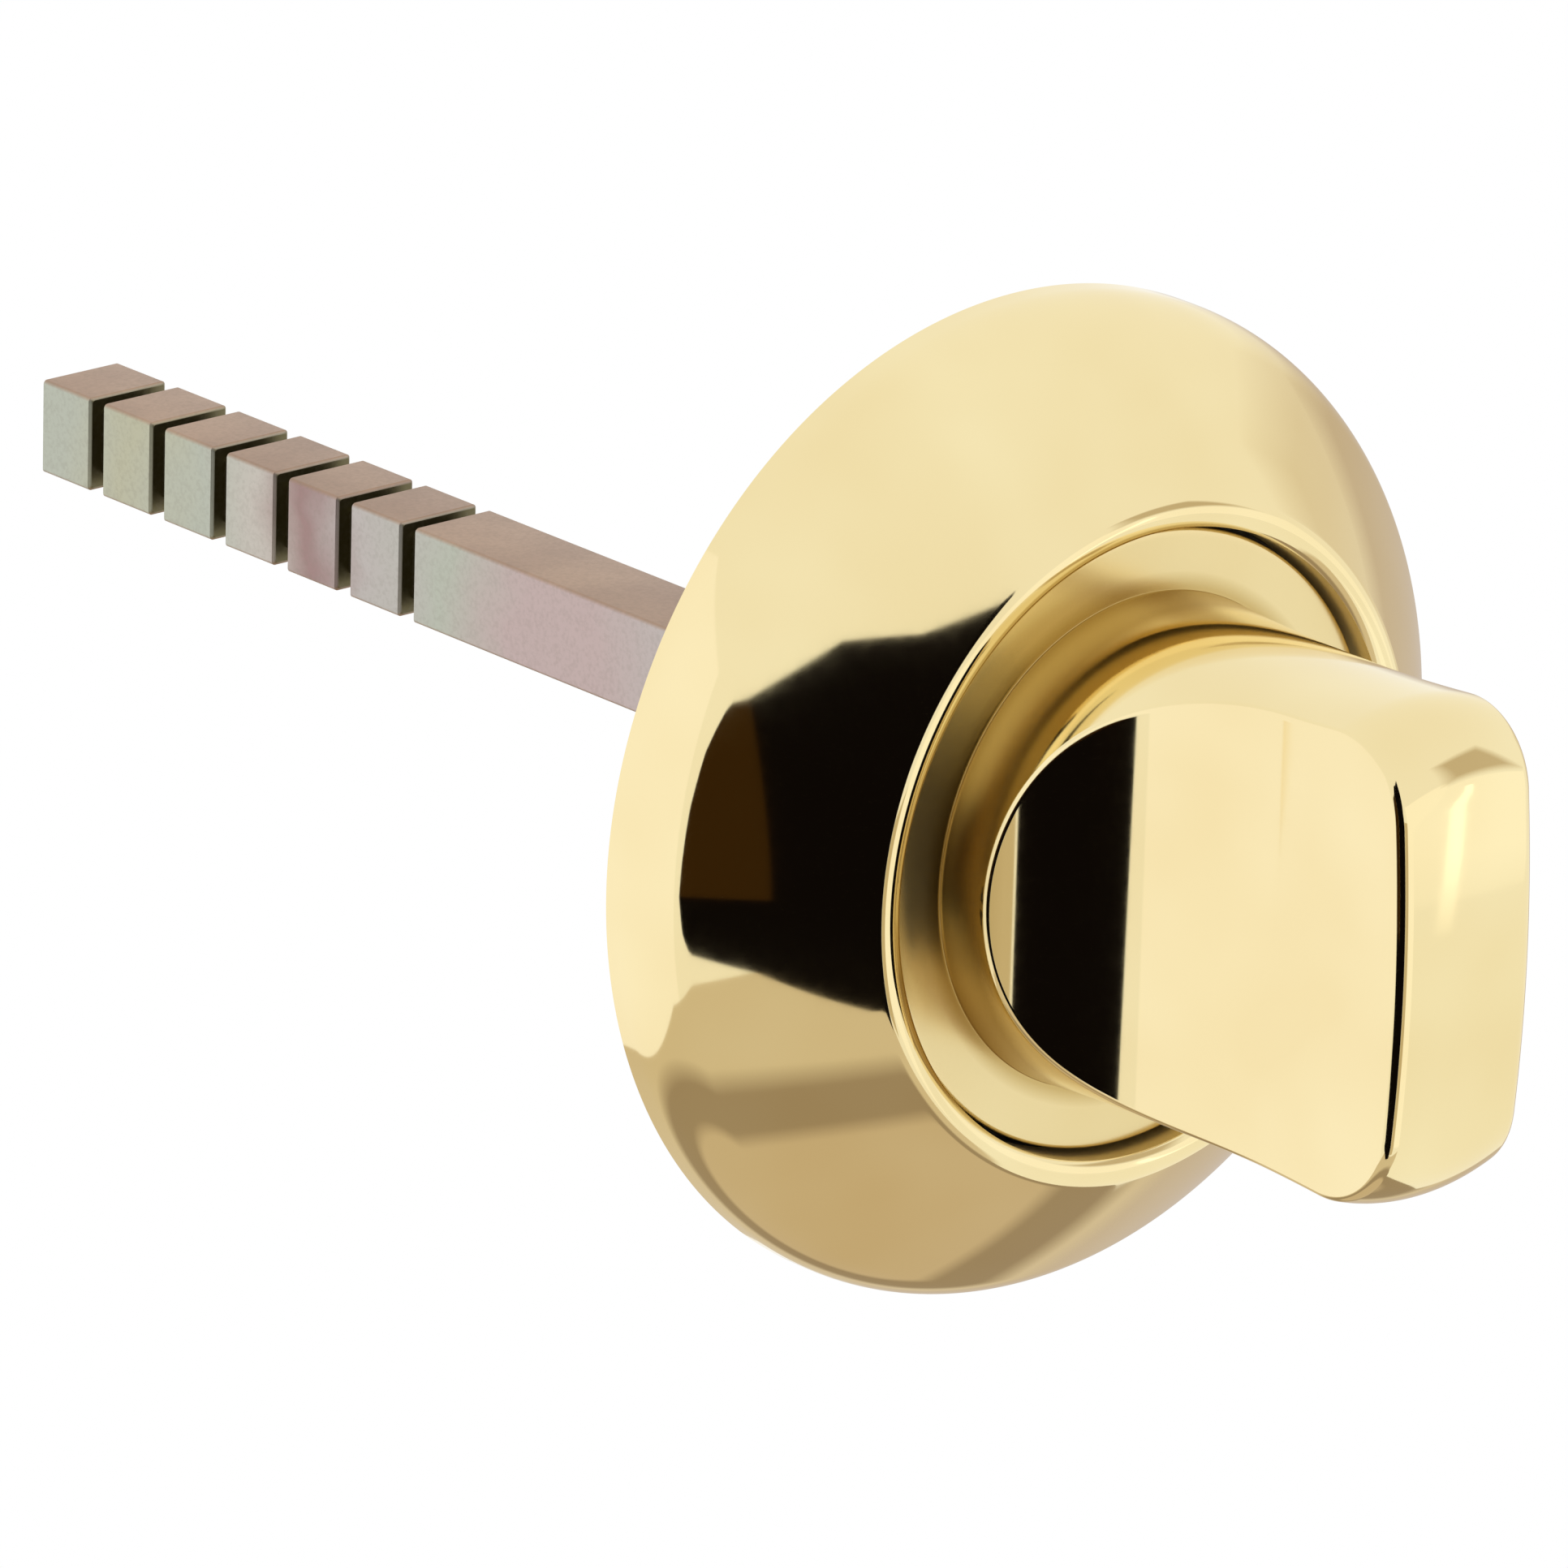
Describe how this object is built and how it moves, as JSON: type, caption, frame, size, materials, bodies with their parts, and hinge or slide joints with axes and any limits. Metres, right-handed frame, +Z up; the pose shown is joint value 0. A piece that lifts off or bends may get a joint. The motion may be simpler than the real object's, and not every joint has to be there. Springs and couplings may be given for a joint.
{
  "type": "bathroom thumb turn lock",
  "caption": "Domed round door rose with a turned and milled thumb wing on a notched square spindle, which turns a bathroom lock's bolt from inside.",
  "frame": {"origin": "on the turning axis, in the plane where the rose meets the door", "axes": "-Y out of the door towards the user, +Y into the door along the spindle, +Z up along the wing at rest, +X to the right as the user sees it"},
  "size_m": [0.05, 0.1041, 0.05],
  "materials": {
    "polished_brass": "mirror polished",
    "die_cast_zinc": "as cast, dull grey",
    "nylon": "moulded, natural white",
    "passivated_steel": "zinc plated, yellow iridescent passivation",
    "spring_steel": "oiled, dark grey"
  },
  "bodies": {
    "rose": {"rose_cover": "polished_brass", "rose_base": "die_cast_zinc", "turn_bush": "nylon"},
    "turn": {"thumb_turn": "polished_brass", "spindle": "passivated_steel", "spindle_pin": "spring_steel", "thrust_washer": "spring_steel", "wave_washer": "spring_steel", "retaining_ring": "spring_steel"}
  },
  "joints": [
    {"name": "turn_hinge", "type": "hinge", "parent": "rose", "child": "turn", "pos_m": [0, 0, 0], "axis": [0, -1, 0], "range_deg": [-90, 90]}
  ]
}
